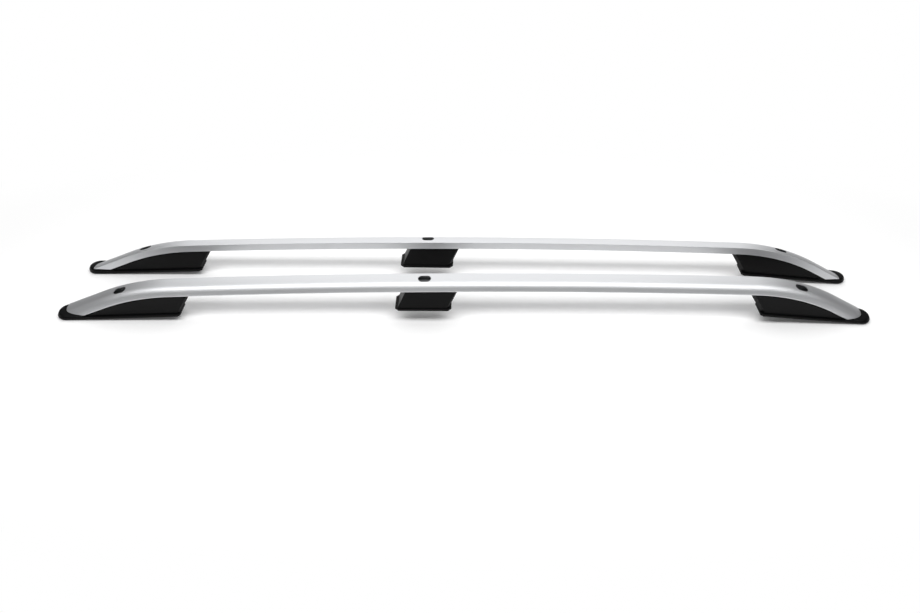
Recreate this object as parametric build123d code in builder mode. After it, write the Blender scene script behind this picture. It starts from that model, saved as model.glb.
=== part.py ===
from build123d import *

import os
from dataclasses import dataclass
from math import atan2, cos, radians, sin, sqrt, tan

# A pair of roof side rails: bent aluminium tubes on moulded feet, mirror images of each other.
# The left rail is modelled, and the right rail is its mirror image. X runs along the vehicle with
# the front feet at -X, Y runs across it with the left rail at -Y, and Z is up. The origin is on the
# floor, in the middle of the pair. All sizes are in millimetres and all angles in degrees.

# Overall layout of the pair, whose rails toe in towards the rear as the roof narrows
rail_length = 1994.0
rail_spacing = 180.0
toe_in = 0.43

# Section of the tube, which leans outward so that its outer edge is the lower one
tube_width = 50.0
tube_side_height = 18.0
tube_crown = 1.8
tube_flank_run = 12.5
tube_shoulder_radius = 25.0
tube_lower_radius = 2.5
tube_edge_radius = 1.2
tube_wall = 2.0
tube_lean = 8.0

# Line of the tube: setbacks from the noses, bends, slopes of the ends and the crest between them
tube_end_setback = 22.0
front_knee_setback = 202.0
front_bend_radius = 500.0
front_end_slope = 22.5
crest_x = 0.0
crest_height = 113.0
straight_stretch = 8.0
rear_knee_setback = 189.0
rear_bend_radius = 450.0
rear_end_slope = 28.5

# Level cut at the tube's ends, and the noses it rests on
seat_height = 14.0
seat_lean = 4.0
nose_length = 75.0
nose_overlap = 7.0
nose_inset = 1.5
nose_edge_radius = 7.0

# Holes for the roof bolts, with the access holes over them
access_hole_length = 31.0
access_hole_width = 20.0
bolt_hole_radius = 3.3
bolt_land_radius = 6.0
bolt_land_drop = 6.0
bolt_land_recess = 1.0
tube_bolt_hole_radius = 4.5
bolt_shift = 3.5
front_bolt_setback = 167.0
rear_bolt_setback = 185.0
middle_bolt_offset = 4.0

# Feet and gaskets
foot_depth = 43.0
foot_wall = 3.0
foot_gap = 0.3
foot_corner_radius = 2.0
rib_thickness = 2.5
bolt_boss_radius = 9.0
flange_thickness = 4.5
flange_edge_radius = 1.0
end_flange_depth = 54.0
end_flange_cut = 6.5
end_foot_margin = 1.5
groove_height = 1.5
groove_depth = 1.2
gasket_thickness = 2.0
gasket_inset = 1.5
front_foot_length = 310.0
front_foot_rise = 2.5
front_foot_lean = 35.5
front_corner_cut = 5.0
middle_foot_x = -94.0
middle_foot_length = 136.0
middle_foot_lean = 25.0
middle_foot_draft = 7.0
middle_front_margin = 6.0
middle_rear_margin = 6.5
middle_flange_depth = 60.0
middle_flange_cut = 8.0
middle_corner_cut = 4.5
middle_base_height = 37.5
rear_foot_length = 278.0
rear_foot_rise = 5.0
rear_foot_lean = 39.0
rear_corner_cut = 8.0

# Screws that hold the feet to the tube: two in each foot, one each side of its rib
screw_radius = 2.1
screw_head_radius = 4.0
screw_head_height = 2.6
screw_bite = 5.0
screw_clearance = 0.3
thread_clearance = 0.05
screw_boss_radius = 5.5
screw_boss_height = 9.0
screw_offset = 10.0
end_screw_spacing = 40.0
middle_screw_spacing = 42.0

# Worked out from the sizes above
half_length = rail_length / 2
rail_y = -rail_spacing / 2
bolt_y = rail_y + bolt_shift
half_side = tube_side_height / 2
tall = 2 * crest_height
flange_top = gasket_thickness + flange_thickness
groove_top = flange_top + groove_height


@dataclass(frozen=True)
class Foot:
    """Where a foot stands and what its walls, base and fixings need.

    base: plane of the gasket's underside, with x along the foot, away from its nose or front end
    length: length of the base flange
    depth: depth of the base flange
    flange_cut: size of the flange's cut corners
    corner_cut: size of the cut corners at the walls' inner end
    side_draft: angle at which the walls' sides spread downward
    nose_radius: radius of the flange's rounded end, or 0 where the foot has no nose
    wall_start, wall_end: where the walls start and end on the flange, along the foot
    start_lean, end_lean: angles of the walls' two ends, positive where the top is further along
    bolt_x: where the roof bolt stands, along the vehicle
    screw_xs: where the screws stand, along the vehicle
    """

    base: Plane
    length: float
    depth: float
    flange_cut: float
    corner_cut: float
    side_draft: float
    nose_radius: float
    wall_start: float
    wall_end: float
    start_lean: float
    end_lean: float
    bolt_x: float
    screw_xs: tuple[float, float]


def end_foot(direction, length, rise, lean, corner_cut, bolt_setback):
    """Sets out an end foot, whose base runs through the bottom of its nose and rises inward."""
    inward = Vector(-direction * cos(radians(rise)), 0, sin(radians(rise)))
    up = Vector(direction * sin(radians(rise)), 0, cos(radians(rise)))
    bolt_x = direction * (half_length - bolt_setback)
    return Foot(
        base=Plane(origin=(direction * half_length, rail_y, 0), x_dir=inward, z_dir=up),
        length=length,
        depth=end_flange_depth,
        flange_cut=end_flange_cut,
        corner_cut=corner_cut,
        side_draft=0.0,
        nose_radius=end_flange_depth / 2,
        wall_start=nose_length - nose_overlap,
        wall_end=length - end_foot_margin,
        start_lean=0.0,
        end_lean=lean,
        bolt_x=bolt_x,
        screw_xs=(bolt_x - direction * end_screw_spacing, bolt_x - direction * 2 * end_screw_spacing),
    )


middle_bolt_x = middle_foot_x + middle_bolt_offset
feet = {
    "front": end_foot(
        -1, front_foot_length, front_foot_rise, front_foot_lean, front_corner_cut, front_bolt_setback
    ),
    "middle": Foot(
        base=Plane((middle_foot_x - middle_foot_length / 2, rail_y, middle_base_height)),
        length=middle_foot_length,
        depth=middle_flange_depth,
        flange_cut=middle_flange_cut,
        corner_cut=middle_corner_cut,
        side_draft=middle_foot_draft,
        nose_radius=0.0,
        wall_start=middle_front_margin,
        wall_end=middle_foot_length - middle_rear_margin,
        start_lean=middle_foot_lean,
        end_lean=middle_foot_lean,
        bolt_x=middle_bolt_x,
        screw_xs=(middle_bolt_x - middle_screw_spacing / 2, middle_bolt_x + middle_screw_spacing),
    ),
    "rear": end_foot(
        1, rear_foot_length, rear_foot_rise, rear_foot_lean, rear_corner_cut, rear_bolt_setback
    ),
}


def knee_height(setback, slope):
    """Gives the centre line's height on a sloping end, whose top meets the level cut at the nose."""
    top = (half_side + tube_crown) / cos(radians(slope))
    return seat_height - top + (setback - tube_end_setback) * tan(radians(slope))


# Centre line of the tube, run on past both noses, so that the level cut ends it
front_end = (-half_length - tube_width, knee_height(-tube_width, front_end_slope))
front_knee = (front_knee_setback - half_length, knee_height(front_knee_setback, front_end_slope))
crest = (crest_x, crest_height)
rear_knee = (half_length - rear_knee_setback, knee_height(rear_knee_setback, rear_end_slope))
rear_end = (half_length + tube_width, knee_height(-tube_width, rear_end_slope))
front_climb = atan2(crest[1] - front_knee[1], crest[0] - front_knee[0])
rear_fall = atan2(crest[1] - rear_knee[1], rear_knee[0] - crest[0])

# Radius of the long arch, which fills the room between the bends up to a straight stretch
front_bend_run = front_bend_radius * tan((radians(front_end_slope) - front_climb) / 2)
rear_bend_run = rear_bend_radius * tan((radians(rear_end_slope) - rear_fall) / 2)
front_room = crest[0] - front_knee[0] - front_bend_run
rear_room = rear_knee[0] - crest[0] - rear_bend_run
arch_run = min(front_room, rear_room) - straight_stretch
arch_radius = arch_run / tan((front_climb + rear_fall) / 2)
with BuildLine(Plane.XZ.offset(-rail_y)) as centre_line:
    FilletPolyline(
        front_end,
        front_knee,
        crest,
        rear_knee,
        rear_end,
        radius=[front_bend_radius, arch_radius, rear_bend_radius],
    )
rail_path = centre_line.wire()
start_tangent = rail_path % 0
start_up = start_tangent.cross(Vector(0, 1, 0))
section_plane = Plane(
    origin=rail_path @ 0,
    x_dir=Vector(0, cos(radians(tube_lean)), 0) + start_up * sin(radians(tube_lean)),
    z_dir=start_tangent,
)
seat_plane = Plane(
    origin=(0, rail_y, seat_height),
    x_dir=(1, 0, 0),
    z_dir=(0, -sin(radians(seat_lean)), cos(radians(seat_lean))),
)


def height_over(x):
    """Gives the height of the tube's centre line at a place along the vehicle."""
    low, high = 0.0, 1.0
    for _ in range(50):
        half_way = (low + high) / 2
        if (rail_path @ half_way).X < x:
            low = half_way
        else:
            high = half_way
    return (rail_path @ low).Z


def screw_places(foot):
    """Gives the seats of a foot's two screws, on opposite sides of its rib."""
    sides = (screw_offset, -screw_offset)
    return [
        (x, rail_y + side, height_over(x) - half_side - screw_boss_height)
        for x, side in zip(foot.screw_xs, sides)
    ]


def tube_section(inset):
    """Draws the tube's section, inset evenly: flat inner side, crowned top, sloping outer flank."""
    half_width = tube_width / 2
    shoulder = (tube_flank_run - half_width, half_side)
    with BuildSketch(section_plane) as section:
        with BuildLine():
            inner_side = Line((half_width, -half_side), (half_width, half_side))
            crown = ThreePointArc(inner_side @ 1, (0, half_side + tube_crown), shoulder)
            flank = Line(crown @ 1, (-half_width, -half_side))
            Line(flank @ 1, inner_side @ 0)
        make_face()
        fillet(section.vertices().group_by(Axis.X)[1], tube_shoulder_radius)
        fillet(section.vertices().group_by(Axis.X)[0], tube_lower_radius)
        fillet(section.vertices().group_by(Axis.X)[-1], tube_edge_radius)
        if inset:
            offset(amount=-inset, mode=Mode.REPLACE)
    return section.sketch


def space_over(drop):
    """Makes the space over a level that follows the tube, so far under its lower wall."""
    with BuildPart() as space:
        with BuildSketch(section_plane):
            with Locations((0, -half_side - drop)):
                Rectangle(2 * middle_flange_depth, tall, align=(Align.CENTER, Align.MIN))
        sweep(path=rail_path)
    return space.part


# Space over the feet, which ends level at the noses, and the space over their hollows
with BuildPart() as over_feet:
    add(space_over(foot_gap))
    split(bisect_by=seat_plane.offset(-foot_gap), keep=Keep.TOP)
over_hollows = space_over(foot_gap + foot_wall)


def flange_outline(foot, plane, inset):
    """Draws a base flange's outline: cut corners, and a round end where the foot has a nose."""
    with BuildSketch(plane) as outline:
        with Locations((foot.nose_radius, 0)):
            Rectangle(foot.length - foot.nose_radius, foot.depth, align=(Align.MIN, Align.CENTER))
        corners = outline.vertices()
        if foot.nose_radius:
            corners = corners.group_by(Axis.X)[-1]
        chamfer(corners, foot.flange_cut)
        if foot.nose_radius:
            with Locations((foot.nose_radius, 0)):
                Circle(foot.nose_radius)
        if inset:
            offset(amount=-inset, mode=Mode.REPLACE)
    return outline.sketch


def wall_block(foot, inset, end_inset, bottom):
    """Makes a block between a foot's ends, inset from its walls, from a level over its base up."""
    side = Plane(origin=foot.base.origin, x_dir=foot.base.x_dir, z_dir=-foot.base.y_dir)
    under_tube = Plane((0, 0, height_over(foot.bolt_x) - half_side))

    def place(along, lean, level):
        return (along + (level - flange_top) * tan(radians(lean)), level)

    start = foot.wall_start + inset
    end = foot.wall_end - end_inset
    with BuildPart() as block:
        with BuildSketch(side):
            Polygon(
                place(start, foot.start_lean, bottom),
                place(end, foot.end_lean, bottom),
                place(end, foot.end_lean, crest_height),
                place(start, foot.start_lean, crest_height),
                align=None,
            )
        extrude(amount=foot_depth / 2 - inset, both=True)
        if foot.side_draft:
            draft(block.faces().filter_by(Axis.Y), under_tube, foot.side_draft)
        rising = block.edges().filter_by(lambda edge: abs((edge % 0.5).dot(foot.base.z_dir)) > 0.5)
        corners = rising.sort_by(Axis(foot.base.origin, foot.base.x_dir))
        chamfer(corners[-2:], foot.corner_cut - inset - end_inset + inset * sqrt(2))
        if not foot.nose_radius:
            outer = block.edges().filter_by(lambda edge: abs((edge % 0.5).dot(foot.base.z_dir)) > 0.5)
            fillet(outer.sort_by(Axis(foot.base.origin, foot.base.x_dir))[:2], foot_corner_radius)
    return block.part


def foot_core(foot):
    """Makes the hollow inside a foot, around its rib, its bolt boss and its screw bosses."""
    with BuildPart() as core:
        add(wall_block(foot, foot_wall + groove_depth, foot_wall + groove_depth, 0))
        add(over_hollows, mode=Mode.SUBTRACT)
        with BuildSketch(foot.base):
            Rectangle(2 * rail_length, rib_thickness)
        extrude(amount=tall, mode=Mode.SUBTRACT)
        with Locations((foot.bolt_x, bolt_y, 0)):
            Cylinder(bolt_boss_radius, tall, mode=Mode.SUBTRACT)
        with Locations(*screw_places(foot)):
            Cylinder(
                screw_boss_radius,
                tall,
                align=(Align.CENTER, Align.CENTER, Align.MIN),
                mode=Mode.SUBTRACT,
            )
    return core.part


def nose_block(foot):
    """Makes the blunt nose of an end foot, with a flat top under the tube's end and round edges."""
    flange_bottom = foot.base.offset(gasket_thickness)
    half_depth = foot.nose_radius - nose_inset
    with BuildPart() as nose:
        with BuildSketch(flange_bottom):
            with Locations((foot.nose_radius, 0)):
                Circle(half_depth)
                Rectangle(
                    nose_length - foot.nose_radius,
                    2 * half_depth,
                    align=(Align.MIN, Align.CENTER),
                )
        extrude(amount=tall, both=True)
        split(bisect_by=seat_plane.offset(-foot_gap), keep=Keep.BOTTOM)
        fillet(nose.faces().sort_by(Axis.Z)[-1].edges(), nose_edge_radius)
        split(bisect_by=flange_bottom, keep=Keep.TOP)
    return nose.part


def bolt_lands(foot):
    """Gives the heights of the flat lands at the lower and upper ends of a foot's bolt hole."""
    along = abs(foot.bolt_x - foot.base.origin.X)
    base_height = foot.base.origin.Z + along * foot.base.x_dir.Z / abs(foot.base.x_dir.X)
    lower = base_height + gasket_thickness + bolt_land_recess
    upper = height_over(foot.bolt_x) - half_side - bolt_land_drop
    return lower, upper


def moulded_foot(foot):
    """Makes a foot: walls under the tube, a groove, a base flange, and a nose on an end foot."""
    lower_land, upper_land = bolt_lands(foot)
    with BuildPart() as flange:
        extrude(flange_outline(foot, foot.base.offset(gasket_thickness), 0), amount=flange_thickness)
        fillet(flange.faces().sort_by(Axis.Z)[-1].edges(), flange_edge_radius)
    with BuildPart() as moulding:
        add(wall_block(foot, 0, 0, groove_top))
        add(wall_block(foot, groove_depth, 0 if foot.nose_radius else groove_depth, gasket_thickness))
        add(flange.part)
        if foot.nose_radius:
            add(nose_block(foot))
        add(over_feet.part, mode=Mode.SUBTRACT)
        add(foot_core(foot), mode=Mode.SUBTRACT)
        with Locations((foot.bolt_x, bolt_y, 0)):
            Cylinder(bolt_hole_radius, tall, mode=Mode.SUBTRACT)
        with Locations((foot.bolt_x, bolt_y, lower_land)):
            Cylinder(
                bolt_land_radius,
                tall,
                align=(Align.CENTER, Align.CENTER, Align.MAX),
                mode=Mode.SUBTRACT,
            )
        with Locations((foot.bolt_x, bolt_y, upper_land)):
            Cylinder(
                bolt_land_radius,
                tall,
                align=(Align.CENTER, Align.CENTER, Align.MIN),
                mode=Mode.SUBTRACT,
            )
        with Locations(*screw_places(foot)):
            Cylinder(screw_radius + screw_clearance, tall, mode=Mode.SUBTRACT)
    return moulding.part


def rubber_gasket(foot):
    """Makes the flat pad under a foot's flange."""
    with BuildPart() as gasket:
        extrude(flange_outline(foot, foot.base, gasket_inset), amount=gasket_thickness)
        with Locations((foot.bolt_x, bolt_y, 0)):
            Cylinder(bolt_land_radius, tall, mode=Mode.SUBTRACT)
    return gasket.part


def foot_screws(foot):
    """Makes a foot's two screws, with their heads under the bosses and their ends in the tube."""
    with BuildPart() as screws:
        with Locations(*screw_places(foot)):
            Cylinder(
                screw_head_radius,
                screw_head_height,
                align=(Align.CENTER, Align.CENTER, Align.MAX),
            )
            Cylinder(
                screw_radius,
                screw_boss_height + screw_bite,
                align=(Align.CENTER, Align.CENTER, Align.MIN),
            )
    return screws.part


# Tube: the hollow section along the centre line, cut level at its ends, with its holes
with BuildPart() as rail_tube:
    sweep(tube_section(0), path=rail_path)
    sweep(tube_section(tube_wall), path=rail_path, mode=Mode.SUBTRACT)
    split(bisect_by=seat_plane, keep=Keep.TOP)
    for foot in feet.values():
        with BuildSketch(Plane((foot.bolt_x, bolt_y, height_over(foot.bolt_x)))):
            SlotOverall(access_hole_length, access_hole_width)
        extrude(amount=tall, mode=Mode.SUBTRACT)
        with Locations((foot.bolt_x, bolt_y, height_over(foot.bolt_x))):
            Cylinder(
                tube_bolt_hole_radius,
                tall,
                align=(Align.CENTER, Align.CENTER, Align.MAX),
                mode=Mode.SUBTRACT,
            )
        with Locations(*screw_places(foot)):
            Cylinder(
                screw_radius + thread_clearance,
                screw_boss_height + half_side,
                align=(Align.CENTER, Align.CENTER, Align.MIN),
                mode=Mode.SUBTRACT,
            )

# Every piece of the left rail by its name
pieces = {"rail_tube": rail_tube.part}
for place, foot in feet.items():
    pieces[f"{place}_foot"] = moulded_foot(foot)
    pieces[f"{place}_gasket"] = rubber_gasket(foot)
    pieces[f"{place}_foot_screws"] = foot_screws(foot)

# Both rails, toed in about their middles, one file for each piece
rail_pivot = Axis((0, rail_y, 0), (0, 0, 1))
os.makedirs("parts", exist_ok=True)
for name, piece in pieces.items():
    with BuildPart() as left_piece:
        add(piece.rotate(rail_pivot, toe_in))
    left_piece.part.label = f"left_{name}"
    export_step(left_piece.part, f"parts/left_{name}.step")
    with BuildPart() as right_piece:
        mirror(left_piece.part, about=Plane.XZ)
    right_piece.part.label = f"right_{name}"
    export_step(right_piece.part, f"parts/right_{name}.step")
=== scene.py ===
"""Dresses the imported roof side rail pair: satin tubes, black feet, gaskets, screws and a studio."""

import logging
import math
from dataclasses import dataclass
from enum import Enum
from typing import Union

import bmesh
import bpy
from mathutils import Matrix, Vector


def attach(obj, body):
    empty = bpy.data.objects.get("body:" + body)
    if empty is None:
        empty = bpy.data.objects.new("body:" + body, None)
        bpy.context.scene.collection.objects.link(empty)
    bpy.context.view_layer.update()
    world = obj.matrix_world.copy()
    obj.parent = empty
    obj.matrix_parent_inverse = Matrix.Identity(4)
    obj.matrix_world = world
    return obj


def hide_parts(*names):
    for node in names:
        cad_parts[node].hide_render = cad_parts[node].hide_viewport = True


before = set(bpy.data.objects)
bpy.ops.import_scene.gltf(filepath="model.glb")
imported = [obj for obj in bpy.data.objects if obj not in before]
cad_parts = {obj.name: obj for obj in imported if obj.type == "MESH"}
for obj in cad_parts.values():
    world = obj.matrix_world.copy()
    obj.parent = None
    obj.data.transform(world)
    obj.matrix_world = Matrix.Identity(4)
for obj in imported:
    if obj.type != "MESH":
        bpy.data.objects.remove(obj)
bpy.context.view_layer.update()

log = logging.getLogger("roof_side_rails")

# Sizes of the object are in millimetres, as a maker would write them, and meshes are in metres
MM = 0.001

# Edges that turn by more degrees than this are drawn sharp
SHARP_ANGLE = 28.0

# Points this close to a cutting plane, in millimetres, count as lying on it
CUT_TOLERANCE = 1e-5

# Nearly all values of a noise texture lie between these two
NOISE_LOW = 0.3
NOISE_HIGH = 0.7

Socket = bpy.types.NodeSocket
Outline = list[Vector]
Setting = Union[float, str, bool, tuple[float, ...], Socket]


class Side(Enum):
    """The two rails of the pair; the right one is the mirror image of the left one."""

    LEFT = "left"
    RIGHT = "right"


class Place(Enum):
    """The three feet under a rail."""

    FRONT = "front"
    MIDDLE = "middle"
    REAR = "rear"


class Join(Enum):
    """How one solid is worked into another."""

    ADD = "UNION"
    CUT = "DIFFERENCE"


def linear(hex_colour: str) -> tuple[float, float, float, float]:
    """Turns an sRGB hex colour into the linear colour that a shader takes.

    Args:
        hex_colour: six hex digits after a number sign.

    Returns:
        Red, green and blue in linear light, and an alpha of one.
    """
    parts = [int(hex_colour[i : i + 2], 16) / 255 for i in (1, 3, 5)]
    light = [c / 12.92 if c <= 0.04045 else ((c + 0.055) / 1.055) ** 2.4 for c in parts]
    return light[0], light[1], light[2], 1.0


def add_node(
    tree: bpy.types.NodeTree,
    kind: str,
    inputs: dict[Union[str, int], Setting],
    **settings: Setting,
) -> bpy.types.Node:
    """Adds a node, sets its properties and sets or links its inputs.

    Args:
        tree: the node tree that it goes into.
        kind: the node's type name.
        inputs: a value or an output socket for each named or numbered input.
        settings: properties of the node itself.

    Returns:
        The new node.
    """
    made = tree.nodes.new(kind)
    for name, value in settings.items():
        setattr(made, name, value)
    for key, value in inputs.items():
        if isinstance(value, Socket):
            tree.links.new(value, made.inputs[key])
        else:
            made.inputs[key].default_value = value
    return made


def new_tree(name: str) -> tuple[bpy.types.Material, bpy.types.NodeTree]:
    """Makes an empty node material.

    Args:
        name: the material's name.

    Returns:
        The material and its node tree.
    """
    material = bpy.data.materials.new(name)
    material.use_nodes = True
    material.node_tree.nodes.clear()
    return material, material.node_tree


# Satin anodised aluminium, drawn through a die and then etched: a pale grey metal whose reflections
# are soft, with faint lines along its length where the die dragged
@dataclass(frozen=True)
class SatinAnodisedAluminium:
    """Finish of the tubes, with die lines that follow the tube's own length."""

    name: str = "satin_anodised_drawn_aluminium"
    pale: str = "#DDDEE0"
    shade: str = "#D6D7D9"
    roughness_low: float = 0.46
    roughness_high: float = 0.53
    # Real die lines are about 0.1 mm apart; these are drawn ten times as wide so that they show
    line_width_mm: float = 1.1
    line_length_mm: float = 260.0
    line_depth_mm: float = 0.006
    etch_grain_mm: float = 0.7
    etch_share: float = 0.35
    bump_strength: float = 0.35

    def build(self) -> bpy.types.Material:
        """Builds the material from noise stretched along the drawn length.

        Returns:
            The finished material.
        """
        material, tree = new_tree(self.name)
        along = add_node(tree, "ShaderNodeUVMap", {}, uv_map="drawn")
        stretch = (1 / (self.line_length_mm * MM), 1 / (self.line_width_mm * MM), 1.0)
        drawn = add_node(
            tree, "ShaderNodeMapping", {"Vector": along.outputs["UV"], "Scale": stretch}
        )
        lines = add_node(
            tree,
            "ShaderNodeTexNoise",
            {"Vector": drawn.outputs["Vector"], "Scale": 1.0, "Detail": 3.0, "Roughness": 0.6},
        )
        grain = add_node(
            tree,
            "ShaderNodeTexNoise",
            {"Vector": along.outputs["UV"], "Scale": 1 / (self.etch_grain_mm * MM), "Detail": 2.0},
        )
        colour = add_node(
            tree,
            "ShaderNodeMix",
            {0: lines.outputs["Fac"], 6: linear(self.shade), 7: linear(self.pale)},
            data_type="RGBA",
        )
        softness = add_node(
            tree,
            "ShaderNodeMapRange",
            {
                "Value": lines.outputs["Fac"],
                "From Min": NOISE_LOW,
                "From Max": NOISE_HIGH,
                "To Min": self.roughness_low,
                "To Max": self.roughness_high,
            },
        )
        height = add_node(
            tree,
            "ShaderNodeMath",
            {0: grain.outputs["Fac"], 1: self.etch_share, 2: lines.outputs["Fac"]},
            operation="MULTIPLY_ADD",
        )
        bump = add_node(
            tree,
            "ShaderNodeBump",
            {
                "Height": height.outputs["Value"],
                "Strength": self.bump_strength,
                "Distance": self.line_depth_mm * MM,
            },
        )
        shader = add_node(
            tree,
            "ShaderNodeBsdfPrincipled",
            {
                "Base Color": colour.outputs[2],
                "Metallic": 1.0,
                "Roughness": softness.outputs["Result"],
                "Normal": bump.outputs["Normal"],
            },
        )
        add_node(tree, "ShaderNodeOutputMaterial", {"Surface": shader.outputs["BSDF"]})
        return material


# Aluminium of the tubes' inner skins: a darker grey than the outer skin, painted as shade, so that
# the tube looks dark through the holes
@dataclass(frozen=True)
class ShadedInnerAluminium:
    """Finish of the tubes' inner skins, painted a darker grey as shade."""

    name: str = "inner_aluminium_painted_shade"
    # Painted shade: a darker grey than the outer skin, for the dark inside the tube
    painted_shade_grey: str = "#A2A3A5"
    roughness: float = 0.66

    def build(self) -> bpy.types.Material:
        """Builds the plain metal in a darker grey that paints the shade inside the tube.

        Returns:
            The finished material.
        """
        material, tree = new_tree(self.name)
        shader = add_node(
            tree,
            "ShaderNodeBsdfPrincipled",
            {"Base Color": linear(self.painted_shade_grey), "Metallic": 1.0, "Roughness": self.roughness},
        )
        add_node(tree, "ShaderNodeOutputMaterial", {"Surface": shader.outputs["BSDF"]})
        return material


# Black polypropylene, moulded in a spark-eroded tool: near black, with a fine even grain that
# breaks up its reflections, so that flat sides look matt and only edges catch the light
@dataclass(frozen=True)
class GrainedBlackPolypropylene:
    """Finish of the feet."""

    name: str = "grained_black_moulded_polypropylene"
    black: str = "#090909"
    worn: str = "#0E0E0F"
    ior: float = 1.49
    specular_level: float = 0.11
    roughness_low: float = 0.38
    roughness_high: float = 0.48
    # A tool's spark grain is about 0.3 mm; it is drawn about four times as coarse so that it shows
    grain_mm: float = 1.2
    grain_depth_mm: float = 0.05
    bump_strength: float = 0.5
    flow_mm: float = 60.0
    edge_radius_mm: float = 0.6

    def build(self) -> bpy.types.Material:
        """Builds the material from a fine grain and slow flow marks.

        Returns:
            The finished material.
        """
        material, tree = new_tree(self.name)
        place = add_node(tree, "ShaderNodeTexCoord", {})
        grain = add_node(
            tree,
            "ShaderNodeTexNoise",
            {
                "Vector": place.outputs["Object"],
                "Scale": 1 / (self.grain_mm * MM),
                "Detail": 2.0,
                "Roughness": 0.5,
            },
        )
        flow = add_node(
            tree,
            "ShaderNodeTexNoise",
            {"Vector": place.outputs["Object"], "Scale": 1 / (self.flow_mm * MM), "Detail": 2.0},
        )
        colour = add_node(
            tree,
            "ShaderNodeMix",
            {0: flow.outputs["Fac"], 6: linear(self.black), 7: linear(self.worn)},
            data_type="RGBA",
        )
        softness = add_node(
            tree,
            "ShaderNodeMapRange",
            {
                "Value": flow.outputs["Fac"],
                "From Min": NOISE_LOW,
                "From Max": NOISE_HIGH,
                "To Min": self.roughness_low,
                "To Max": self.roughness_high,
            },
        )
        rounded = add_node(tree, "ShaderNodeBevel", {"Radius": self.edge_radius_mm * MM}, samples=6)
        bump = add_node(
            tree,
            "ShaderNodeBump",
            {
                "Height": grain.outputs["Fac"],
                "Strength": self.bump_strength,
                "Distance": self.grain_depth_mm * MM,
                "Normal": rounded.outputs["Normal"],
            },
        )
        shader = add_node(
            tree,
            "ShaderNodeBsdfPrincipled",
            {
                "Base Color": colour.outputs[2],
                "Roughness": softness.outputs["Result"],
                "IOR": self.ior,
                "Specular IOR Level": self.specular_level,
                "Normal": bump.outputs["Normal"],
            },
        )
        add_node(tree, "ShaderNodeOutputMaterial", {"Surface": shader.outputs["BSDF"]})
        return material


# Rubber sheet, cut to the base of each foot: dull black, a little dusty from its talc
@dataclass(frozen=True)
class TalcedRubberSheet:
    """Finish of the gaskets."""

    name: str = "talced_cut_rubber_sheet"
    black: str = "#0C0C0D"
    dusty: str = "#1A1A1A"
    ior: float = 1.52
    specular_level: float = 0.2
    roughness: float = 0.82
    dust_mm: float = 7.0
    pore_mm: float = 0.9
    pore_depth_mm: float = 0.08
    bump_strength: float = 0.5

    def build(self) -> bpy.types.Material:
        """Builds the material from dust patches and fine pores.

        Returns:
            The finished material.
        """
        material, tree = new_tree(self.name)
        place = add_node(tree, "ShaderNodeTexCoord", {})
        dust = add_node(
            tree,
            "ShaderNodeTexNoise",
            {"Vector": place.outputs["Object"], "Scale": 1 / (self.dust_mm * MM), "Detail": 4.0},
        )
        pores = add_node(
            tree,
            "ShaderNodeTexNoise",
            {"Vector": place.outputs["Object"], "Scale": 1 / (self.pore_mm * MM), "Detail": 1.0},
        )
        colour = add_node(
            tree,
            "ShaderNodeMix",
            {0: dust.outputs["Fac"], 6: linear(self.black), 7: linear(self.dusty)},
            data_type="RGBA",
        )
        bump = add_node(
            tree,
            "ShaderNodeBump",
            {
                "Height": pores.outputs["Fac"],
                "Strength": self.bump_strength,
                "Distance": self.pore_depth_mm * MM,
            },
        )
        shader = add_node(
            tree,
            "ShaderNodeBsdfPrincipled",
            {
                "Base Color": colour.outputs[2],
                "Roughness": self.roughness,
                "IOR": self.ior,
                "Specular IOR Level": self.specular_level,
                "Normal": bump.outputs["Normal"],
            },
        )
        add_node(tree, "ShaderNodeOutputMaterial", {"Surface": shader.outputs["BSDF"]})
        return material


# Zinc-plated steel, headed and rolled: a bluish grey metal with cloudy patches in the plating
@dataclass(frozen=True)
class ZincPlatedSteel:
    """Finish of the foot screws."""

    name: str = "zinc_plated_headed_steel"
    bright: str = "#C3C6CB"
    cloudy: str = "#A2A6AC"
    roughness_low: float = 0.28
    roughness_high: float = 0.45
    patch_mm: float = 1.6

    def build(self) -> bpy.types.Material:
        """Builds the material from cloudy patches in the plating.

        Returns:
            The finished material.
        """
        material, tree = new_tree(self.name)
        place = add_node(tree, "ShaderNodeTexCoord", {})
        patches = add_node(
            tree,
            "ShaderNodeTexNoise",
            {"Vector": place.outputs["Object"], "Scale": 1 / (self.patch_mm * MM), "Detail": 3.0},
        )
        colour = add_node(
            tree,
            "ShaderNodeMix",
            {0: patches.outputs["Fac"], 6: linear(self.cloudy), 7: linear(self.bright)},
            data_type="RGBA",
        )
        softness = add_node(
            tree,
            "ShaderNodeMapRange",
            {
                "Value": patches.outputs["Fac"],
                "To Min": self.roughness_high,
                "To Max": self.roughness_low,
            },
        )
        shader = add_node(
            tree,
            "ShaderNodeBsdfPrincipled",
            {
                "Base Color": colour.outputs[2],
                "Metallic": 1.0,
                "Roughness": softness.outputs["Result"],
            },
        )
        add_node(tree, "ShaderNodeOutputMaterial", {"Surface": shader.outputs["BSDF"]})
        return material


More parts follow.
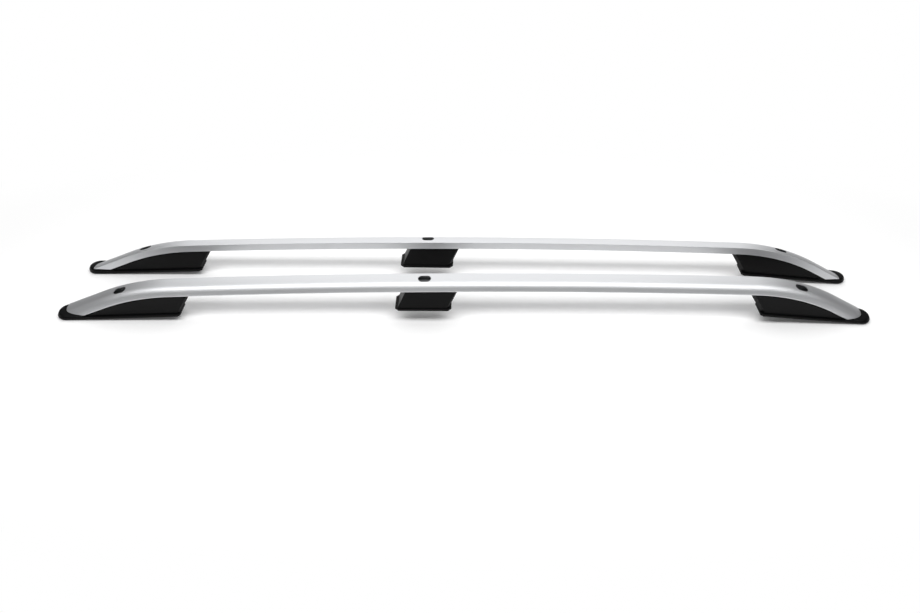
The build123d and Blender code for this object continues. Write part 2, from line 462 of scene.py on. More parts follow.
# Matt white paper sweep: takes soft shadows near the rails and runs out into plain white
@dataclass(frozen=True)
class WhitePaperSweep:
    """Finish of the studio floor."""

    name: str = "matt_white_paper_sweep"
    white: str = "#FBFBFB"
    length_share: float = 0.4
    fade_start_m: float = 0.42
    fade_end_m: float = 0.8
    lift: float = 0.05
    fibre_mm: float = 2.5
    fibre_depth_mm: float = 0.1
    bump_strength: float = 0.1

    def build(self) -> bpy.types.Material:
        """Builds the material, which turns to even white away from the rails.

        Returns:
            The finished material.
        """
        material, tree = new_tree(self.name)
        place = add_node(tree, "ShaderNodeTexCoord", {})
        fibres = add_node(
            tree,
            "ShaderNodeTexNoise",
            {"Vector": place.outputs["Object"], "Scale": 1 / (self.fibre_mm * MM)},
        )
        bump = add_node(
            tree,
            "ShaderNodeBump",
            {
                "Height": fibres.outputs["Fac"],
                "Strength": self.bump_strength,
                "Distance": self.fibre_depth_mm * MM,
            },
        )
        paper = add_node(
            tree,
            "ShaderNodeBsdfDiffuse",
            {"Color": linear(self.white), "Normal": bump.outputs["Normal"]},
        )
        light_path = add_node(tree, "ShaderNodeLightPath", {})
        seen = add_node(
            tree,
            "ShaderNodeMath",
            {
                0: light_path.outputs["Is Camera Ray"],
                1: light_path.outputs["Is Glossy Ray"],
            },
            operation="MAXIMUM",
        )
        lift = add_node(
            tree,
            "ShaderNodeMath",
            {0: light_path.outputs["Is Camera Ray"], 1: self.lift},
            operation="MULTIPLY",
        )
        glow = add_node(tree, "ShaderNodeEmission", {"Strength": lift.outputs["Value"]})
        lifted = add_node(
            tree, "ShaderNodeAddShader", {0: paper.outputs["BSDF"], 1: glow.outputs["Emission"]}
        )
        squeezed = add_node(
            tree,
            "ShaderNodeMapping",
            {"Vector": place.outputs["Object"], "Scale": (self.length_share, 1.0, 1.0)},
        )
        distance = add_node(
            tree, "ShaderNodeVectorMath", {0: squeezed.outputs["Vector"]}, operation="LENGTH"
        )
        fade = add_node(
            tree,
            "ShaderNodeMapRange",
            {
                "Value": distance.outputs["Value"],
                "From Min": self.fade_start_m,
                "From Max": self.fade_end_m,
            },
            interpolation_type="SMOOTHSTEP",
        )
        share = add_node(
            tree,
            "ShaderNodeMath",
            {0: fade.outputs["Result"], 1: seen.outputs["Value"]},
            operation="MULTIPLY",
        )
        even = add_node(tree, "ShaderNodeEmission", {"Strength": 1.0})
        surface = add_node(
            tree,
            "ShaderNodeMixShader",
            {0: share.outputs["Value"], 1: lifted.outputs["Shader"], 2: even.outputs["Emission"]},
        )
        add_node(tree, "ShaderNodeOutputMaterial", {"Surface": surface.outputs["Shader"]})
        return material


@dataclass(frozen=True)
class Station:
    """A place on a rail's centre line: how far along it, where, and the slope there."""

    along: float
    x: float
    z: float
    slope: float


@dataclass(frozen=True)
class RailLine:
    """Where the rails stand and the line that each tube follows, in millimetres and degrees."""

    rail_length: float = 1994.0
    rail_spacing: float = 180.0
    toe_in: float = 0.43
    bolt_shift: float = 3.5
    overrun: float = 50.0
    top_height: float = 10.8
    end_setback: float = 22.0
    seat_height: float = 14.0
    seat_lean: float = 4.0
    front_knee_setback: float = 202.0
    front_bend_radius: float = 500.0
    front_slope: float = 22.5
    crest_x: float = 0.0
    crest_height: float = 113.0
    straight_stretch: float = 8.0
    rear_knee_setback: float = 189.0
    rear_bend_radius: float = 450.0
    rear_slope: float = 28.5
    bend_step: float = 4.0
    arch_step: float = 12.0

    @property
    def half_length(self) -> float:
        """Gives half the length from nose to nose."""
        return self.rail_length / 2

    def end_height(self, setback: float, slope: float) -> float:
        """Gives the centre line's height on a sloping end.

        Args:
            setback: how far in from the nose.
            slope: the end's slope.

        Returns:
            The height over the floor.
        """
        top = self.top_height / math.cos(math.radians(slope))
        rise = (setback - self.end_setback) * math.tan(math.radians(slope))
        return self.seat_height - top + rise

    def corners(self) -> list[Vector]:
        """Works out the corners of the line before they are rounded.

        Returns:
            Both ends, both knees and the crest, from front to rear.
        """
        half = self.half_length
        setbacks = (-self.overrun, self.front_knee_setback)
        front = [Vector((s - half, self.end_height(s, self.front_slope))) for s in setbacks]
        setbacks = (self.rear_knee_setback, -self.overrun)
        rear = [Vector((half - s, self.end_height(s, self.rear_slope))) for s in setbacks]
        return [*front, Vector((self.crest_x, self.crest_height)), *rear]

    def radii(self, corners: list[Vector]) -> list[float]:
        """Works out the radius of the arch, which fills the room between the two bends.

        Args:
            corners: the corners of the line, from front to rear.

        Returns:
            The radii of the front bend, the arch and the rear bend.
        """
        front_knee, crest, rear_knee = corners[1:4]
        climb = math.atan2(crest.y - front_knee.y, crest.x - front_knee.x)
        fall = math.atan2(crest.y - rear_knee.y, rear_knee.x - crest.x)
        front_turn = math.radians(self.front_slope) - climb
        rear_turn = math.radians(self.rear_slope) - fall
        front_room = crest.x - front_knee.x - self.front_bend_radius * math.tan(front_turn / 2)
        rear_room = rear_knee.x - crest.x - self.rear_bend_radius * math.tan(rear_turn / 2)
        run = min(front_room, rear_room) - self.straight_stretch
        arch_radius = run / math.tan((climb + fall) / 2)
        return [self.front_bend_radius, arch_radius, self.rear_bend_radius]

    def stations(self) -> list[Station]:
        """Walks the rounded line from front to rear.

        Returns:
            Stations close enough together for smooth bends.
        """
        corners = self.corners()
        radii = self.radii(corners)
        steps = (self.bend_step, self.arch_step, self.bend_step)
        slopes = [math.atan2(b.y - a.y, b.x - a.x) for a, b in zip(corners, corners[1:])]
        places: list[tuple[Vector, float]] = [(corners[0], slopes[0])]

        def run_to(point: Vector, slope: float) -> None:
            """Adds evenly spaced places on a straight stretch.

            Args:
                point: where the stretch ends.
                slope: its slope.
            """
            start = places[-1][0]
            count = max(1, round((point - start).length / self.arch_step))
            for i in range(1, count + 1):
                places.append((start.lerp(point, i / count), slope))

        for corner, radius, step, before, after in zip(
            corners[1:4], radii, steps, slopes, slopes[1:]
        ):
            turn = before - after
            tangent = radius * math.tan(turn / 2)
            start = corner - tangent * Vector((math.cos(before), math.sin(before)))
            run_to(start, before)
            centre = start + radius * Vector((math.sin(before), -math.cos(before)))
            count = max(2, math.ceil(radius * turn / step))
            for i in range(1, count + 1):
                slope = before - turn * i / count
                spoke = Vector((-math.sin(slope), math.cos(slope)))
                places.append((centre + radius * spoke, slope))
        run_to(corners[-1], slopes[-1])

        found: list[Station] = []
        along = 0.0
        last = places[0][0]
        for point, slope in places:
            along += (point - last).length
            last = point
            found.append(Station(along, point.x, point.y, slope))
        return found

    def height_over(self, x: float) -> float:
        """Gives the centre line's height at a place along the vehicle.

        Args:
            x: the place.

        Returns:
            The height over the floor.
        """
        stations = self.stations()
        for a, b in zip(stations, stations[1:]):
            if a.x <= x <= b.x:
                return a.z + (b.z - a.z) * (x - a.x) / (b.x - a.x)
        raise ValueError(f"the line doesn't reach x = {x}")

    def seat_normal(self) -> Vector:
        """Gives the upward normal of the level cut at the tube's ends."""
        lean = math.radians(self.seat_lean)
        return Vector((0, -math.sin(lean), math.cos(lean)))

    def into_frame(self, side: Side) -> Matrix:
        """Works out where a rail stands.

        Args:
            side: the rail.

        Returns:
            The matrix from the rail's own millimetres to the shared frame's metres.
        """
        turn = Matrix.Rotation(math.radians(self.toe_in), 4, "Z")
        stand = Matrix.Translation((0, -self.rail_spacing / 2, 0)) @ turn
        mirror = Matrix.Scale(-1, 4, (0, 1, 0)) if side is Side.RIGHT else Matrix.Identity(4)
        return Matrix.Scale(MM, 4) @ mirror @ stand


LINE = RailLine()


def solid(name: str, mesh: bmesh.types.BMesh) -> bpy.types.Object:
    """Turns a finished bmesh into an object in the scene and frees it.

    Args:
        name: the object's name.
        mesh: the finished mesh.

    Returns:
        The new object.
    """
    data = bpy.data.meshes.new(name)
    mesh.to_mesh(data)
    mesh.free()
    made = bpy.data.objects.new(name, data)
    bpy.context.scene.collection.objects.link(made)
    return made


def loft(name: str, rings: list[Outline]) -> bpy.types.Object:
    """Skins rings of equal length into a closed solid.

    Args:
        name: the solid's name.
        rings: outlines in order from one end to the other.

    Returns:
        The new object.
    """
    mesh = bmesh.new()
    rows = [[mesh.verts.new(point) for point in ring] for ring in rings]
    for lower, upper in zip(rows, rows[1:]):
        for i, vertex in enumerate(lower):
            j = (i + 1) % len(lower)
            mesh.faces.new((vertex, lower[j], upper[j], upper[i]))
    mesh.faces.new(reversed(rows[0]))
    mesh.faces.new(rows[-1])
    bmesh.ops.recalc_face_normals(mesh, faces=mesh.faces)
    return solid(name, mesh)


def keep_above(piece: bpy.types.Object, point: Vector, normal: Vector) -> None:
    """Cuts a solid along a plane, keeps one side of it and closes the cut.

    Args:
        piece: the solid.
        point: a point on the plane.
        normal: the plane's normal, which points to the side that is kept.
    """
    mesh = bmesh.new()
    mesh.from_mesh(piece.data)
    everything = [*mesh.verts, *mesh.edges, *mesh.faces]
    bmesh.ops.bisect_plane(
        mesh,
        geom=everything,
        plane_co=point,
        plane_no=normal,
        clear_inner=True,
        dist=CUT_TOLERANCE,
    )
    rim = [edge for edge in mesh.edges if edge.is_boundary]
    bmesh.ops.triangle_fill(mesh, use_beauty=True, edges=rim)
    bmesh.ops.recalc_face_normals(mesh, faces=mesh.faces)
    mesh.to_mesh(piece.data)
    mesh.free()


def work(piece: bpy.types.Object, tool: bpy.types.Object, how: Join) -> None:
    """Joins a tool solid to a piece or cuts it out of it, and removes the tool.

    Args:
        piece: the solid that is worked on.
        tool: the solid that is added or cut away.
        how: whether it is added or cut away.
    """
    step = piece.modifiers.new("work", "BOOLEAN")
    step.object = tool
    step.operation = how.value
    step.solver = "EXACT"
    bpy.context.view_layer.update()
    shaped = piece.evaluated_get(bpy.context.evaluated_depsgraph_get())
    data = bpy.data.meshes.new_from_object(shaped)
    piece.modifiers.remove(step)
    old = piece.data
    piece.data = data
    bpy.data.meshes.remove(old)
    tool_data = tool.data
    bpy.data.objects.remove(tool)
    bpy.data.meshes.remove(tool_data)


def inset(outline: Outline, amount: float) -> Outline:
    """Moves each side of a convex outline inward by the same amount.

    Args:
        outline: points of the outline, anticlockwise, in the plane of x and y.
        amount: how far the sides move.

    Returns:
        The moved outline, with as many points.
    """
    moved: Outline = []
    for i, point in enumerate(outline):
        before = (point - outline[i - 1]).normalized()
        after = (outline[(i + 1) % len(outline)] - point).normalized()
        normal_a = Vector((-before.y, before.x))
        normal_b = Vector((-after.y, after.x))
        middle = (normal_a + normal_b).normalized()
        moved.append(point + middle * (amount / middle.dot(normal_a)))
    return moved


def arc(centre: Vector, radius: float, start: float, end: float, count: int) -> Outline:
    """Gives evenly spaced points on an arc, both ends among them, with angles in degrees."""
    angles = [math.radians(start + (end - start) * i / count) for i in range(count + 1)]
    return [centre + radius * Vector((math.cos(a), math.sin(a))) for a in angles]


def circle(centre: Vector, radius: float, count: int) -> Outline:
    """Gives so many evenly spaced points on a full circle."""
    return arc(centre, radius, 0, 360 - 360 / count, count - 1)


def place_piece(
    piece: bpy.types.Object,
    side: Side,
    node: str,
    finish: bpy.types.Material,
) -> None:
    """Stands a finished solid in the shared frame and hands it over with its finish.

    Args:
        piece: the solid, in its rail's own millimetres.
        side: the rail that it belongs to.
        node: the CAD node that it stands for.
        finish: its material.
    """
    piece.data.transform(LINE.into_frame(side))
    if side is Side.RIGHT:
        piece.data.flip_normals()
    piece.data.polygons.foreach_set("use_smooth", [True] * len(piece.data.polygons))
    piece.data.set_sharp_from_angle(angle=math.radians(SHARP_ANGLE))
    piece.data.materials.clear()
    piece.data.materials.append(finish)
    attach(piece, "root")
    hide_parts(node)
    log.info("%s stands for %s: %d faces", piece.name, node, len(piece.data.polygons))


@dataclass(frozen=True)
class FootPlan:
    """Sizes of one foot, in millimetres and degrees along its own base.

    The base starts at a nose or front end and runs inward; direction is the way that its outer end
    faces along the vehicle, and rise is the angle at which the base climbs inward.
    """

    place: Place
    start_x: float
    base_height: float
    direction: int
    rise: float
    length: float
    depth: float
    flange_cut: float
    corner_cut: float
    side_draft: float
    nose_radius: float
    wall_start: float
    wall_end: float
    start_lean: float
    end_lean: float
    bolt_x: float

    def at(self, along: float, across: float, level: float) -> Vector:
        """Finds a place over the foot's base.

        Args:
            along: how far in from the base's outer end.
            across: how far from the rail's middle.
            level: how far over the base.

        Returns:
            The place in its rail's own millimetres.
        """
        rise = math.radians(self.rise)
        x = self.start_x - self.direction * (along * math.cos(rise) - level * math.sin(rise))
        z = self.base_height + along * math.sin(rise) + level * math.cos(rise)
        return Vector((x, across, z))


FEET = (
    FootPlan(
        place=Place.FRONT,
        start_x=-LINE.half_length,
        base_height=0.0,
        direction=-1,
        rise=2.5,
        length=310.0,
        depth=54.0,
        flange_cut=6.5,
        corner_cut=5.0,
        side_draft=0.0,
        nose_radius=27.0,
        wall_start=68.0,
        wall_end=308.5,
        start_lean=0.0,
        end_lean=35.5,
        bolt_x=-830.0,
    ),
    FootPlan(
        place=Place.MIDDLE,
        start_x=-162.0,
        base_height=37.5,
        direction=-1,
        rise=0.0,
        length=136.0,
        depth=60.0,
        flange_cut=8.0,
        corner_cut=4.5,
        side_draft=7.0,
        nose_radius=0.0,
        wall_start=6.0,
        wall_end=129.5,
        start_lean=25.0,
        end_lean=25.0,
        bolt_x=-90.0,
    ),
    FootPlan(
        place=Place.REAR,
        start_x=LINE.half_length,
        base_height=0.0,
        direction=1,
        rise=5.0,
        length=278.0,
        depth=54.0,
        flange_cut=6.5,
        corner_cut=8.0,
        side_draft=0.0,
        nose_radius=27.0,
        wall_start=68.0,
        wall_end=276.5,
        start_lean=0.0,
        end_lean=39.0,
        bolt_x=812.0,
    ),
)


@dataclass(frozen=True)
class RailTube:
    """The bent tube of a rail: a hollow section with a flat inner side and a sloping flank."""

    width: float = 50.0
    side_height: float = 18.0
    crown: float = 1.8
    flank_run: float = 12.5
    shoulder_radius: float = 25.0
    lower_radius: float = 2.5
    edge_radius: float = 1.2
    wall: float = 2.0
    lean: float = 8.0
    access_length: float = 31.0
    access_width: float = 20.0
    bolt_hole_radius: float = 4.5
    cut_reach: float = 40.0
    least_radius: float = 0.05
    edge_steps: int = 4
    side_steps: int = 4
    crown_steps: int = 16
    shoulder_steps: int = 18
    lower_steps: int = 10
    underside_steps: int = 8
    slot_steps: int = 20
    hole_points: int = 24

    def section(self, wall: float) -> Outline:
        """Draws the section, set in by a wall, from its inner lower edge up and round.

        Args:
            wall: how far it is set in; the outer skin has none.

        Returns:
            Points across and up, anticlockwise.
        """
        # The crown is an arc over the flat side's top and the shoulder
        half, side = self.width / 2, self.side_height / 2
        right, low = half - wall, wall - side
        shoulder = Vector((self.flank_run - half, side))
        corner = Vector((-half, -side))
        middle = (half + shoulder.x) / 2
        sink = (side + self.crown) ** 2 + middle**2 - side**2 - (half - middle) ** 2
        crown_centre = Vector((middle, sink / (2 * self.crown)))
        crown_radius = (shoulder - crown_centre).length

        # A small round edge joins the crown and the flat side
        edge = max(self.edge_radius - wall, self.least_radius)
        edge_run = right - edge - middle
        edge_rise = math.sqrt((crown_radius - wall - edge) ** 2 - edge_run**2)
        edge_turn = math.degrees(math.atan2(edge_rise, edge_run))
        edge_centre = crown_centre + Vector((edge_run, edge_rise))

        # A large round shoulder joins crown and flank, and a small edge joins flank and underside
        flank = (corner - shoulder).normalized()
        outward = Vector((flank.y, -flank.x))
        spoke = shoulder - self.shoulder_radius * outward - crown_centre
        back = spoke.dot(flank)
        room = (crown_radius - self.shoulder_radius) ** 2 - spoke.length_squared
        spoke -= (back + math.sqrt(back**2 + room)) * flank
        shoulder_turn = math.degrees(math.atan2(spoke.y, spoke.x))
        flank_turn = math.degrees(math.atan2(outward.y, outward.x))
        lower_run = self.lower_radius * (1 + outward.y) / -outward.x
        lower_centre = corner + Vector((lower_run, self.lower_radius))

        points = arc(Vector((right - edge, low + edge)), edge, -90, 0, self.edge_steps)
        for i in range(1, self.side_steps):
            points.append(Vector((right, low + (edge_centre.y - low) * (i / self.side_steps))))
        points += arc(edge_centre, edge, 0, edge_turn, self.edge_steps)
        top_radius, bend_radius = crown_radius - wall, self.shoulder_radius - wall
        points += arc(crown_centre, top_radius, edge_turn, shoulder_turn, self.crown_steps)[1:]
        bend_centre = crown_centre + spoke
        points += arc(bend_centre, bend_radius, shoulder_turn, flank_turn, self.shoulder_steps)[1:]
        points += arc(lower_centre, self.lower_radius - wall, flank_turn, 270, self.lower_steps)
        count = self.underside_steps
        left = points[-1].x
        for i in range(1, count):
            points.append(Vector((left + (right - edge - left) * i / count, low)))
        return points

    def ring(self, station: Station, outline: Outline) -> Outline:
        """Stands a section on the line.

        Args:
            station: the place on the line.
            outline: the section.

        Returns:
            The section's points in its rail's own millimetres.
        """
        lean = math.radians(self.lean)
        up = Vector((-math.sin(station.slope), 0, math.cos(station.slope)))
        level = Vector((0, 1, 0))
        across = level * math.cos(lean) + up * math.sin(lean)
        rising = up * math.cos(lean) - level * math.sin(lean)
        origin = Vector((station.x, 0, station.z))
        return [origin + across * p.x + rising * p.y for p in outline]

    def skin(self, mesh: bmesh.types.BMesh, outline: Outline, outward: bool) -> None:
        """Adds an open skin along the line, with its length and girth as texture places.

        Args:
            mesh: the mesh that it goes into.
            outline: the section.
            outward: whether its faces look outward.
        """
        layers = mesh.loops.layers.uv
        drawn = layers.get("drawn") or layers.new("drawn")
        stations = LINE.stations()
        rows = [[mesh.verts.new(p) for p in self.ring(s, outline)] for s in stations]
        girth = [0.0]
        for a, b in zip(outline, [*outline[1:], outline[0]]):
            girth.append(girth[-1] + (b - a).length)
        for k, (lower, upper) in enumerate(zip(rows, rows[1:])):
            near, far = stations[k].along, stations[k + 1].along
            for i, vertex in enumerate(lower):
                j = (i + 1) % len(lower)
                ring = [vertex, lower[j], upper[j], upper[i]]
                low, high = girth[i], girth[i + 1]
                spots = [(near, low), (near, high), (far, high), (far, low)]
                if outward:
                    ring.reverse()
                    spots.reverse()
                face = mesh.faces.new(ring)
                face.material_index = 0 if outward else 1
                for loop, spot in zip(face.loops, spots):
                    loop[drawn].uv = (spot[0] * MM, spot[1] * MM)

    def build(self, side: Side, finish: bpy.types.Material, inside: bpy.types.Material) -> None:
        """Builds a rail's tube: swept, cut level at its ends, then pierced over each foot.

        Args:
            side: the rail that it belongs to.
            finish: the material of its outer skin and its edges.
            inside: the material of its inner skin.
        """
        mesh = bmesh.new()
        self.skin(mesh, self.section(0.0), True)
        self.skin(mesh, self.section(self.wall), False)
        tube = solid(f"{side.value}_drawn_tube", mesh)
        for coat in (finish, inside):
            tube.data.materials.append(coat)
        keep_above(tube, Vector((0, 0, LINE.seat_height)), LINE.seat_normal())
        for foot in FEET:
            height = LINE.height_over(foot.bolt_x)
            middle = Vector((foot.bolt_x, LINE.bolt_shift))
            radius = self.access_width / 2
            reach = Vector((self.access_length / 2 - radius, 0))
            slot = arc(middle + reach, radius, -90, 90, self.slot_steps)
            slot += arc(middle - reach, radius, 90, 270, self.slot_steps)
            hole = circle(middle, self.bolt_hole_radius, self.hole_points)
            above, below = height + self.cut_reach, height - self.cut_reach
            for outline, low, high in ((slot, height, above), (hole, below, height)):
                rings = [[Vector((p.x, p.y, z)) for p in outline] for z in (low, high)]
                work(tube, loft("hole", rings), Join.CUT)
        coats = [face.material_index for face in tube.data.polygons]
        place_piece(tube, side, f"{side.value}_rail_tube", finish)
        tube.data.materials.append(inside)
        tube.data.polygons.foreach_set("material_index", coats)


@dataclass(frozen=True)
class MouldedFoot:
    """A black foot: walls under the tube, a groove, a base flange, and a nose on an end foot."""

    plan: FootPlan
    tube: RailTube
    depth: float = 43.0
    gap: float = 0.3
    corner_radius: float = 2.0
    gasket_thickness: float = 2.0
    flange_thickness: float = 4.5
    flange_edge_radius: float = 1.0
    groove_height: float = 1.5
    groove_depth: float = 1.2
    nose_length: float = 75.0
    nose_inset: float = 1.5
    nose_edge_radius: float = 7.0
    bolt_hole_radius: float = 3.3
    land_radius: float = 6.0
    land_drop: float = 6.0
    land_recess: float = 1.0
    # Joined forms sink this far into each other, and cutting tools reach this far past the foot
    sink: float = 1.0
    tall: float = 140.0
    nose_steps: int = 48
    corner_steps: int = 5
    hole_points: int = 36

    @property
    def flange_top(self) -> float:
        """Gives the level of the flange's top over the base."""
        return self.gasket_thickness + self.flange_thickness

    def stand(self, outline: Outline, level: float) -> Outline:
        """Stands a flat outline over the base at a level."""
        return [self.plan.at(p.x, p.y, level) for p in outline]

    def flange(self) -> bpy.types.Object:
        """Makes the base flange, with a rounded upper edge.

        Returns:
            The flange, round at the nose of an end foot.
        """
        plan = self.plan
        half = plan.depth / 2
        end, cut = plan.length, plan.flange_cut
        outline = [Vector((end - cut, -half)), Vector((end, cut - half))]
        outline += [Vector((end, half - cut)), Vector((end - cut, half))]
        if plan.nose_radius:
            centre = Vector((plan.nose_radius, 0))
            outline += arc(centre, plan.nose_radius, 90, 270, self.nose_steps)
        else:
            outline += [Vector((cut, half)), Vector((0, half - cut))]
            outline += [Vector((0, cut - half)), Vector((cut, -half))]
        radius = self.flange_edge_radius
        rings = [self.stand(outline, self.gasket_thickness)]
        for turn in (0, 30, 60, 90):
            angle = math.radians(turn)
            level = self.flange_top - radius * (1 - math.sin(angle))
            rings.append(self.stand(inset(outline, radius * (1 - math.cos(angle))), level))
        return loft("flange", rings)

    def walls(
        self, set_in: float, end_set_in: float, bottom: float, top: float
    ) -> bpy.types.Object:
        """Makes a block between the foot's leaning ends, with cut corners at its inner end.

        Args:
            set_in: how far it lies inside the walls.
            end_set_in: how far it lies inside the inner end.
            bottom: level of its underside over the base.
            top: level of its top over the base.

        Returns:
            The block.
        """
        plan = self.plan
        corner = self.corner_radius
        cut = plan.corner_cut - set_in - end_set_in + set_in * math.sqrt(2)
        end_lean = math.radians(plan.end_lean)
        under_tube = LINE.height_over(plan.bolt_x) - self.tube.side_height / 2 - plan.base_height
        rings = []
        for level in (bottom, top):
            rise = level - self.flange_top
            spread = (under_tube - level) * math.tan(math.radians(plan.side_draft))
            half = self.depth / 2 - set_in + spread
            start = plan.wall_start + set_in + rise * math.tan(math.radians(plan.start_lean))
            end = plan.wall_end - end_set_in + rise * math.tan(end_lean)
            cut_back = end - cut / math.cos(end_lean)
            outline = [Vector((cut_back, -half)), Vector((end, cut - half))]
            outline += [Vector((end, half - cut)), Vector((cut_back, half))]
            for across, turn in ((half - corner, 90), (corner - half, 180)):
                centre = Vector((start + corner, across))
                outline += arc(centre, corner, turn, turn + 90, self.corner_steps)
            rings.append(self.stand(outline, level))
        return loft("walls", rings)

    def nose(self) -> bpy.types.Object:
        """Makes the blunt nose, level on top under the tube's end and round along its edges.

        Returns:
            The nose, cut off inside the flange.
        """
        plan = self.plan
        half = plan.nose_radius - self.nose_inset
        centre = Vector((plan.nose_radius, 0))
        back = self.nose_length
        outline = [Vector((back, -half)), Vector((back, half))]
        outline += arc(centre, half, 90, 270, self.nose_steps)
        rise, lean = math.radians(plan.rise), math.radians(LINE.seat_lean)
        top = LINE.seat_height - self.gap / math.cos(lean)
        rings = [self.stand(outline, -self.tall)]
        for turn in range(0, 91, 9):
            angle = math.radians(turn)
            drop = self.nose_edge_radius * (1 - math.sin(angle))
            ring: Outline = []
            for p in inset(outline, self.nose_edge_radius * (1 - math.cos(angle))):
                height = top + p.y * math.tan(lean) - drop
                level = (height - p.x * math.sin(rise)) / math.cos(rise)
                ring.append(plan.at(p.x, p.y, level))
            rings.append(ring)
        made = loft("nose", rings)
        foot_up = plan.at(0, 0, 1) - plan.at(0, 0, 0)
        keep_above(made, plan.at(0, 0, self.gasket_thickness + self.sink), foot_up)
        return made

    def room_over(self) -> bpy.types.Object:
        """Makes the room that the tube takes over the foot, which ends level at the noses.

        Returns:
            The room, as a solid to cut away.
        """
        low = -self.tube.side_height / 2 - self.gap
        wide = self.plan.depth
        outline = [Vector((-wide, low)), Vector((wide, low))]
        outline += [Vector((wide, self.tall)), Vector((-wide, self.tall))]
        room = loft("room", [self.tube.ring(s, outline) for s in LINE.stations()])
        keep_above(room, Vector((0, 0, LINE.seat_height - self.gap)), LINE.seat_normal())
        return room

    def pin(self, radius: float, low: float, high: float) -> bpy.types.Object:
        """Makes an upright round bar where the bolt hole goes."""
        outline = circle(Vector((self.plan.bolt_x, LINE.bolt_shift)), radius, self.hole_points)
        return loft("pin", [[Vector((p.x, p.y, z)) for p in outline] for z in (low, high)])

    def build(self, side: Side, finish: bpy.types.Material) -> None:
        """Builds the foot: moulded forms joined, then cut for the tube and for the bolt hole.

        Args:
            side: the rail that it belongs to.
            finish: its material.
        """
        plan = self.plan
        groove_top = self.flange_top + self.groove_height
        bottom = self.gasket_thickness + self.sink
        shell = self.flange()
        shell.name = f"{side.value}_{plan.place.value}_foot_shell"
        end_groove = 0.0 if plan.nose_radius else self.groove_depth
        core = self.walls(self.groove_depth, end_groove, bottom, groove_top + self.sink)
        work(shell, core, Join.ADD)
        work(shell, self.walls(0.0, 0.0, groove_top, self.tall), Join.ADD)
        if plan.nose_radius:
            work(shell, self.nose(), Join.ADD)
        work(shell, self.room_over(), Join.CUT)
        along = abs(plan.bolt_x - plan.start_x)
        base = plan.base_height + along * math.tan(math.radians(plan.rise))
        lower = base + self.gasket_thickness + self.land_recess
        upper = LINE.height_over(plan.bolt_x) - self.tube.side_height / 2 - self.land_drop
        work(shell, self.pin(self.bolt_hole_radius, -self.tall, self.tall), Join.CUT)
        work(shell, self.pin(self.land_radius, -self.tall, lower), Join.CUT)
        work(shell, self.pin(self.land_radius, upper, self.tall), Join.CUT)
        place_piece(shell, side, f"{side.value}_{plan.place.value}_foot", finish)


@dataclass(frozen=True)
class BoughtParts:
    """Gaskets and screws of a rail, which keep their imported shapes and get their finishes."""

    side: Side

    def build(self, rubber: bpy.types.Material, steel: bpy.types.Material) -> None:
        """Dresses the gaskets and screws.

        Args:
            rubber: the material of the gaskets.
            steel: the material of the screws.
        """
        for place in Place:
            for ending, finish in (("gasket", rubber), ("foot_screws", steel)):
                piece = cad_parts[f"{self.side.value}_{place.value}_{ending}"]
                piece.data.materials.clear()
                piece.data.materials.append(finish)
                log.info("%s dressed in %s", piece.name, finish.name)


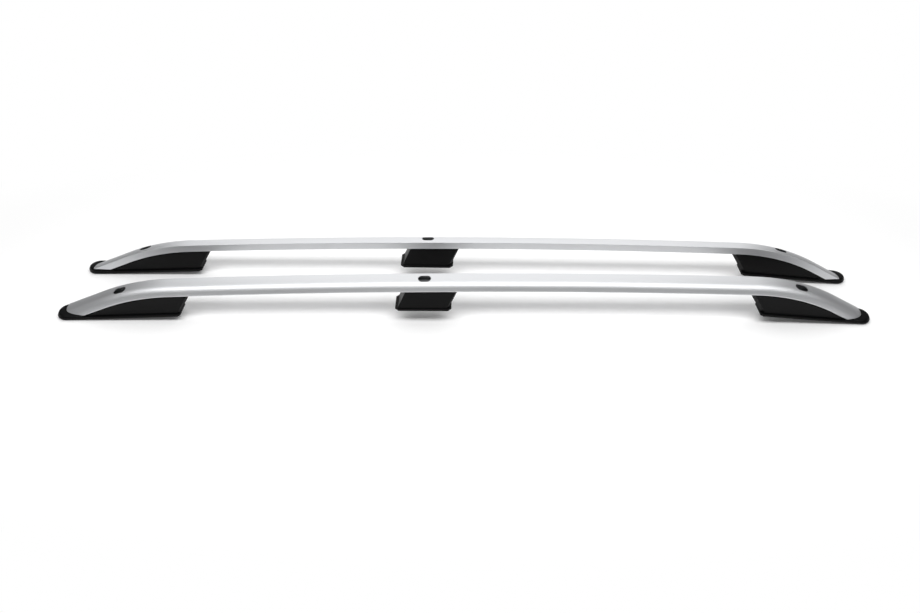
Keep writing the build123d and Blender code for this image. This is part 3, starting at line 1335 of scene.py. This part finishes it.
@dataclass(frozen=True)
class Studio:
    """The floor, the lights and the camera, in metres, degrees and millimetres of lens."""

    floor_size: float = 30.0
    floor_drop: float = 0.0003
    strip_size: tuple[float, float] = (4.2, 0.7)
    strip_place: tuple[float, float, float] = (0.0, -0.85, 1.9)
    strip_watts: float = 49.0
    strip_tilt: float = 22.0
    panel_size: tuple[float, float] = (3.8, 4.0)
    panel_place: tuple[float, float, float] = (0.0, 1.55, 1.75)
    panel_watts: float = 54.0
    panel_tilt: float = -50.0
    room_strength: float = 0.14
    camera_place: tuple[float, float, float] = (0.0195, -1.5595, 1.1799)
    camera_pitch: float = 38.046
    camera_yaw: float = -0.972
    camera_roll: float = 0.034
    camera_lens: float = 29.888
    sensor_width: float = 36.0
    sight_end: float = 100.0
    floor_squares: int = 8

    def build_floor(self) -> None:
        """Lays the paper sweep under the rails."""
        mesh = bmesh.new()
        squares, half = self.floor_squares, self.floor_size / 2
        bmesh.ops.create_grid(mesh, x_segments=squares, y_segments=squares, size=half)
        bmesh.ops.translate(mesh, verts=mesh.verts, vec=(0, 0, -self.floor_drop))
        floor = solid("paper_sweep", mesh)
        floor.data.materials.append(WhitePaperSweep().build())

    def build_lights(self) -> None:
        """Hangs a strip light over the rails and a panel behind them, in an evenly lit room."""
        for name, size, place, watts, tilt in (
            ("strip_light", self.strip_size, self.strip_place, self.strip_watts, self.strip_tilt),
            ("back_panel", self.panel_size, self.panel_place, self.panel_watts, self.panel_tilt),
        ):
            lamp = bpy.data.lights.new(name, "AREA")
            lamp.shape = "RECTANGLE"
            lamp.size, lamp.size_y = size
            lamp.energy = watts
            softbox = bpy.data.objects.new(name, lamp)
            softbox.location = place
            softbox.rotation_euler = (math.radians(tilt), 0, 0)
            bpy.context.scene.collection.objects.link(softbox)

        world = bpy.data.worlds.new("studio_room")
        bpy.context.scene.world = world
        world.use_nodes = True
        tree = world.node_tree
        tree.nodes.clear()
        light_path = add_node(tree, "ShaderNodeLightPath", {})
        strength = add_node(
            tree,
            "ShaderNodeMapRange",
            {
                "Value": light_path.outputs["Is Camera Ray"],
                "To Min": self.room_strength,
                "To Max": 1.0,
            },
        )
        room = add_node(
            tree,
            "ShaderNodeBackground",
            {"Color": (1.0, 1.0, 1.0, 1.0), "Strength": strength.outputs["Result"]},
        )
        add_node(tree, "ShaderNodeOutputWorld", {"Surface": room.outputs["Background"]})

    def build_camera(self) -> None:
        """Stands the camera where the rails were looked at from."""
        pitch, yaw, roll = (
            math.radians(a) for a in (self.camera_pitch, self.camera_yaw, self.camera_roll)
        )
        forward = Vector(
            (math.sin(yaw) * math.cos(pitch), math.cos(yaw) * math.cos(pitch), -math.sin(pitch))
        )
        right = Vector((math.cos(yaw), -math.sin(yaw), 0))
        down = forward.cross(right)
        right, down = (
            right * math.cos(roll) + down * math.sin(roll),
            down * math.cos(roll) - right * math.sin(roll),
        )
        turn = Matrix((right, -down, -forward)).transposed().to_4x4()
        data = bpy.data.cameras.new("camera")
        data.lens = self.camera_lens
        data.sensor_width = self.sensor_width
        data.clip_end = self.sight_end
        camera = bpy.data.objects.new("camera", data)
        camera.matrix_world = Matrix.Translation(self.camera_place) @ turn
        bpy.context.scene.collection.objects.link(camera)
        bpy.context.scene.camera = camera


def main() -> None:
    """Builds both rails and the studio."""
    logging.basicConfig(level=logging.INFO, format="%(message)s")
    bpy.context.scene.view_settings.view_transform = "Standard"
    aluminium = SatinAnodisedAluminium().build()
    # The tubes' inner skins get a darker grey that paints the shade inside them
    shaded_inside = ShadedInnerAluminium().build()
    plastic = GrainedBlackPolypropylene().build()
    rubber = TalcedRubberSheet().build()
    steel = ZincPlatedSteel().build()
    tube = RailTube()
    for side in Side:
        tube.build(side, aluminium, shaded_inside)
        for plan in FEET:
            MouldedFoot(plan, tube).build(side, plastic)
        BoughtParts(side).build(rubber, steel)
    studio = Studio()
    studio.build_floor()
    studio.build_lights()
    studio.build_camera()


if __name__ == "__main__":
    main()
